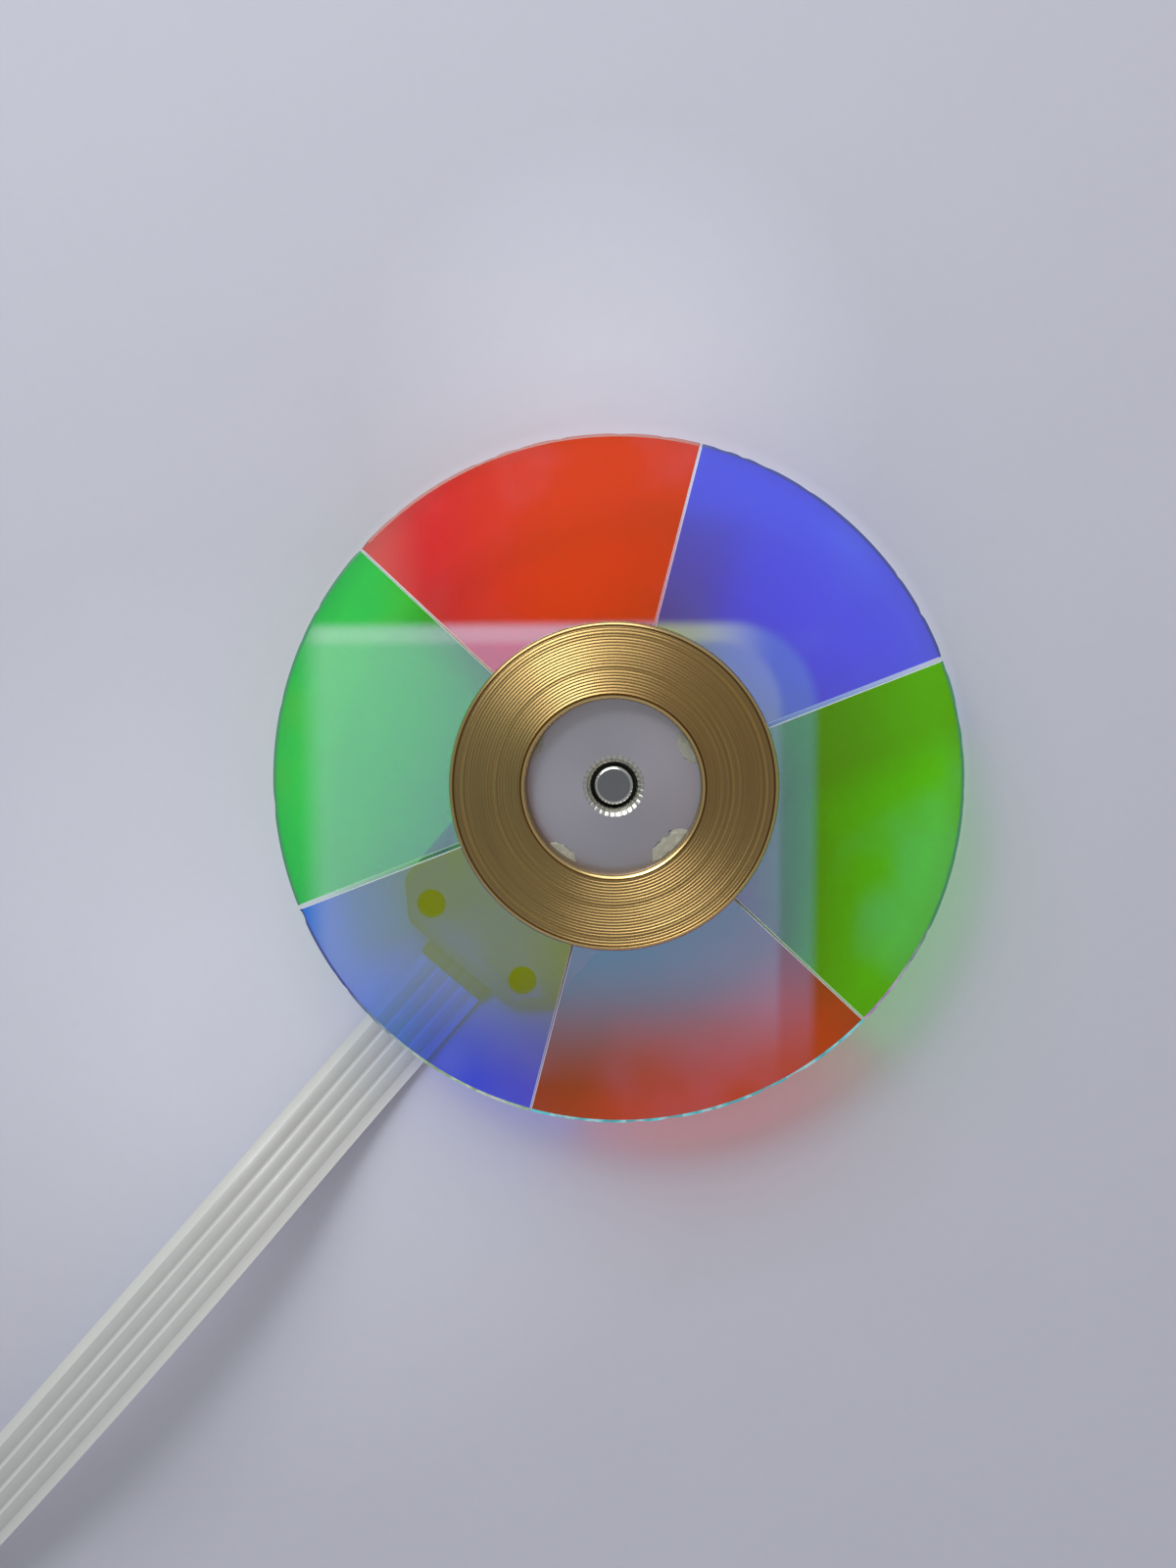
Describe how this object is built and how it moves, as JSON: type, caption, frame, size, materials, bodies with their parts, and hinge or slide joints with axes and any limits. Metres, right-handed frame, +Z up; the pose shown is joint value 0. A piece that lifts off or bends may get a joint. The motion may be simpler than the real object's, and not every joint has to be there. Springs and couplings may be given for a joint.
{
  "type": "projector color wheel",
  "caption": "Color wheel: red, green and blue filter glasses on a spinning motor hub under a brass balance ring, with a screw-on base plate and a flat cable.",
  "frame": {"origin": "on the motor axis, at the underside of the base plate", "axes": "+Z up along the motor axis, through the glass towards the brass ring; -Y towards the ear and the flat cable"},
  "size_m": [0.052, 0.1446, 0.0113],
  "materials": {
    "red_glass": "dichroic coated glass that passes red, polished",
    "green_glass": "dichroic coated glass that passes green, polished",
    "blue_glass": "dichroic coated glass that passes blue, polished",
    "brass": "fine turned grooves, bright chamfers",
    "hub_aluminium": "satin, finely turned",
    "glue": "milky cured adhesive, slightly glossy",
    "cup_steel": "nickel plated, drawn",
    "magnet": "bonded magnet, dark grey",
    "timing_black": "matt black film",
    "shaft_steel": "ground and polished",
    "washer_plastic": "natural nylon",
    "plate_steel": "zinc plated sheet, satin",
    "holder_brass": "turned",
    "sintered_bronze": "porous, oiled",
    "thrust_plastic": "dark, low friction",
    "core_steel": "stacked silicon steel sheet",
    "insulator_plastic": "moulded, natural white",
    "enamelled_copper": "enamelled copper wire",
    "solder": "bright tinned metal",
    "flex_film": "amber polyimide film over copper",
    "ribbon_film": "white polyester film over flat tinned conductors",
    "stiffener_film": "blue polyester film"
  },
  "bodies": {
    "base": {"base_plate": "plate_steel", "bearing_holder": "holder_brass", "sleeve_bearing": "sintered_bronze", "thrust_pad": "thrust_plastic", "thrust_cap": "plate_steel", "stator_core": "core_steel", "upper_insulator": "insulator_plastic", "lower_insulator": "insulator_plastic", "coils_phase_u": "enamelled_copper", "coils_phase_v": "enamelled_copper", "coils_phase_w": "enamelled_copper", "coil_leads": "enamelled_copper", "solder_joints": "solder", "flex_circuit": "flex_film", "ribbon_cable": "ribbon_film", "ribbon_stiffener": "stiffener_film", "ribbon_contacts": "solder"},
    "rotor": {"red_filter_1": "red_glass", "green_filter_1": "green_glass", "blue_filter_1": "blue_glass", "red_filter_2": "red_glass", "green_filter_2": "green_glass", "blue_filter_2": "blue_glass", "balance_ring": "brass", "hub": "hub_aluminium", "glue_dabs": "glue", "rotor_cup": "cup_steel", "rotor_magnet": "magnet", "timing_mark": "timing_black", "shaft": "shaft_steel", "retaining_washer": "washer_plastic"}
  },
  "joints": [
    {"name": "rotor_spin", "type": "hinge", "parent": "base", "child": "rotor", "pos_m": [0, 0, 0.0083], "axis": [0, 0, 1], "continuous": true}
  ]
}
